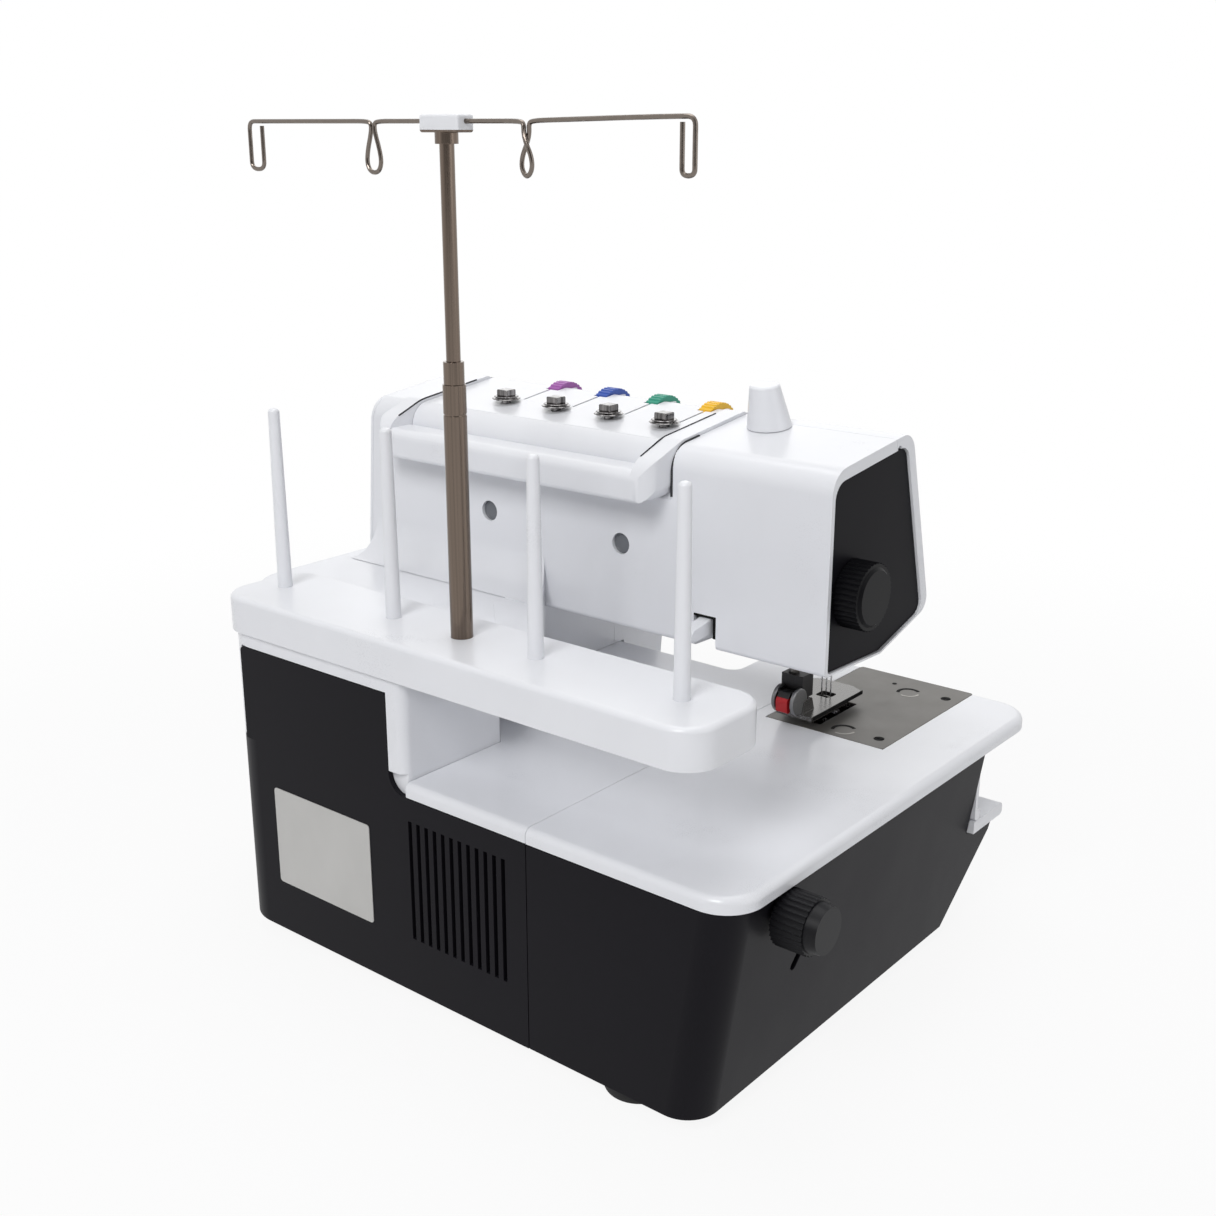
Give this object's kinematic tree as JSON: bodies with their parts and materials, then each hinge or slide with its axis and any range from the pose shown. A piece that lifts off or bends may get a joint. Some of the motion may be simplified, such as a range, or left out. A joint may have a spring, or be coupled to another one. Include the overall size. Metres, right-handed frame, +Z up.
{
  "type": "overlock coverstitch sewing machine",
  "caption": "Table-top overlock family sewing machine with spool shelf, telescopic thread pole, colour tension dials, carry handle and handwheel for hemming and edging fabric.",
  "frame": {"origin": "on the table under the middle of the machine's bounding box", "axes": "+X to the operator's right, +Y to the rear, +Z up"},
  "size_m": [0.4586, 0.3084, 0.461],
  "materials": {
    "white_plastic": "gloss moulded",
    "clip_plastic": "satin moulded",
    "dark_plastic": "satin moulded",
    "black_plastic": "satin moulded",
    "red_plastic": "moulded in colour",
    "rubber": "matte",
    "pole_steel": "warm nickel, drawn",
    "satin_steel": "satin ground",
    "chrome": "polished",
    "cast_aluminium": "as cast",
    "bush_bronze": "sintered",
    "dial_yellow": "moulded in colour",
    "dial_green": "moulded in colour",
    "dial_blue": "moulded in colour",
    "dial_purple": "moulded in colour"
  },
  "bodies": {
    "machine": {"base_cover_left": "dark_plastic", "base_cover_right": "dark_plastic", "base_pan": "satin_steel", "bed_left": "white_plastic", "bed_right": "white_plastic", "drive_belt": "rubber", "face_panel": "dark_plastic", "front_cover": "white_plastic", "front_ledge": "white_plastic", "handle_pins": "satin_steel", "lifter_pin": "satin_steel", "main_frame": "cast_aluminium", "motor": "satin_steel", "needle_plate": "satin_steel", "plate_screws": "satin_steel", "pole_ferrule": "pole_steel", "pole_tube": "pole_steel", "power_inlet": "black_plastic", "rear_cover": "white_plastic", "right_cover": "white_plastic", "rubber_feet": "rubber", "shaft_bushes": "bush_bronze", "spool_pins": "white_plastic", "spool_stand": "white_plastic", "switch_bezel": "black_plastic", "tension_cover": "white_plastic", "tension_shafts": "satin_steel", "thread_guide_discs": "chrome", "tower_base_cover": "white_plastic"},
    "drive_train": {"main_shaft": "satin_steel", "handwheel": "white_plastic", "drive_pulley": "black_plastic"},
    "motor_drive": {"motor_pulley": "black_plastic"},
    "needle_rocker": {"arm_shaft": "satin_steel"},
    "needle_unit": {"needle_bar": "satin_steel", "needle_clamp": "satin_steel", "needles": "satin_steel"},
    "lifter": {"foot_lifter": "white_plastic"},
    "presser_unit": {"presser_bar": "satin_steel", "presser_bracket": "satin_steel", "foot_ankle": "satin_steel", "presser_foot": "chrome"},
    "release": {"release_lever": "red_plastic"},
    "feed": {"feed_dog": "satin_steel"},
    "looper_unit": {"looper": "satin_steel", "looper_shaft": "satin_steel"},
    "handle": {"carry_handle": "white_plastic"},
    "looper_door": {"looper_cover": "white_plastic", "looper_cover_pins": "satin_steel"},
    "knob": {"pressure_knob": "white_plastic"},
    "face_wheel": {"face_dial": "black_plastic"},
    "side_wheel": {"side_dial": "black_plastic"},
    "switch_rocker": {"rocker_switch": "black_plastic"},
    "telescope": {"pole_rod": "pole_steel"},
    "yoke": {"yoke_clip": "clip_plastic", "yoke_wire": "pole_steel"},
    "dial_yellow": {"tension_dial_yellow": "dial_yellow"},
    "dial_green": {"tension_dial_green": "dial_green"},
    "dial_blue": {"tension_dial_blue": "dial_blue"},
    "dial_purple": {"tension_dial_purple": "dial_purple"}
  },
  "joints": [
    {"name": "handwheel_turn", "type": "hinge", "parent": "machine", "child": "drive_train", "pos_m": [0.2043, -0.0482, 0.1], "axis": [1, 0, 0], "continuous": true},
    {"name": "motor_turn", "type": "hinge", "parent": "machine", "child": "motor_drive", "pos_m": [0.1853, 0.0568, 0.056], "axis": [1, 0, 0], "continuous": true},
    {"name": "arm_shaft_rock", "type": "hinge", "parent": "machine", "child": "needle_rocker", "pos_m": [-0.1127, -0.0442, 0.226], "axis": [1, 0, 0], "range_deg": [0, 45.84]},
    {"name": "needle_bar_stroke", "type": "slide", "parent": "machine", "child": "needle_unit", "axis": [0, 0, 1], "range_m": [-0.02746, 0.0002]},
    {"name": "foot_lifter_swing", "type": "hinge", "parent": "machine", "child": "lifter", "pos_m": [-0.0767, -0.0632, 0.1945], "axis": [1, 0, 0], "range_deg": [-22.4, 0.4]},
    {"name": "presser_bar_lift", "type": "slide", "parent": "machine", "child": "presser_unit", "axis": [0, 0, 1], "range_m": [-0.0052, 0]},
    {"name": "release_press", "type": "hinge", "parent": "presser_unit", "child": "release", "pos_m": [-0.1117, -0.0387, 0.1519], "axis": [1, 0, 0], "range_deg": [-8, 0]},
    {"name": "feed_slide", "type": "slide", "parent": "machine", "child": "feed", "axis": [0, 1, 0], "range_m": [-0.002, 0.002]},
    {"name": "looper_rock", "type": "hinge", "parent": "machine", "child": "looper_unit", "pos_m": [-0.0847, -0.0722, 0.066], "axis": [0, 1, 0], "range_deg": [-9, 9]},
    {"name": "carry_handle_fold", "type": "hinge", "parent": "machine", "child": "handle", "pos_m": [-0.0171, -0.0792, 0.28999], "axis": [1, 0, 0], "range_deg": [0, 90]},
    {"name": "looper_cover_fold", "type": "hinge", "parent": "machine", "child": "looper_door", "pos_m": [-0.0847, -0.1017, 0.081], "axis": [1, 0, 0], "range_deg": [0, 86]},
    {"name": "pressure_knob_turn", "type": "hinge", "parent": "machine", "child": "knob", "pos_m": [-0.0747, -0.0672, 0.29483], "axis": [0, 0.1211, 0.9926], "range_deg": [-170, 170]},
    {"name": "face_dial_turn", "type": "hinge", "parent": "machine", "child": "face_wheel", "pos_m": [-0.1507, -0.0358, 0.2195], "axis": [1, 0, 0], "range_deg": [-150, 150]},
    {"name": "side_dial_turn", "type": "hinge", "parent": "machine", "child": "side_wheel", "pos_m": [-0.2057, 0.1078, 0.109], "axis": [1, 0, 0], "range_deg": [-140, 140]},
    {"name": "switch_press", "type": "hinge", "parent": "machine", "child": "switch_rocker", "pos_m": [0.2013, -0.0402, 0.038], "axis": [0, 1, 0], "range_deg": [-14, 0]},
    {"name": "pole_telescope", "type": "slide", "parent": "machine", "child": "telescope", "axis": [0, 0, 1], "range_m": [-0.095, 0]},
    {"name": "yoke_swivel", "type": "hinge", "parent": "telescope", "child": "yoke", "pos_m": [-0.0171, 0.123, 0.458], "axis": [0, 0, 1], "range_deg": [-90, 90]},
    {"name": "tension_yellow_turn", "type": "hinge", "parent": "machine", "child": "dial_yellow", "pos_m": [-0.0217, -0.0892, 0.28291], "axis": [1, 0, 0], "range_deg": [-150, 150]},
    {"name": "tension_green_turn", "type": "hinge", "parent": "machine", "child": "dial_green", "pos_m": [0.0178, -0.0892, 0.28291], "axis": [1, 0, 0], "range_deg": [-150, 150]},
    {"name": "tension_blue_turn", "type": "hinge", "parent": "machine", "child": "dial_blue", "pos_m": [0.0573, -0.0892, 0.28291], "axis": [1, 0, 0], "range_deg": [-150, 150]},
    {"name": "tension_purple_turn", "type": "hinge", "parent": "machine", "child": "dial_purple", "pos_m": [0.0968, -0.0892, 0.28291], "axis": [1, 0, 0], "range_deg": [-150, 150]}
  ],
  "couplings": [
    {"joint": "motor_turn", "follows": "handwheel_turn", "ratio": 2.5},
    {"joint": "needle_bar_stroke", "follows": "arm_shaft_rock", "m_per_rad": -0.034074},
    {"joint": "foot_lifter_swing", "follows": "presser_bar_lift", "rad_per_m": 73.841}
  ]
}
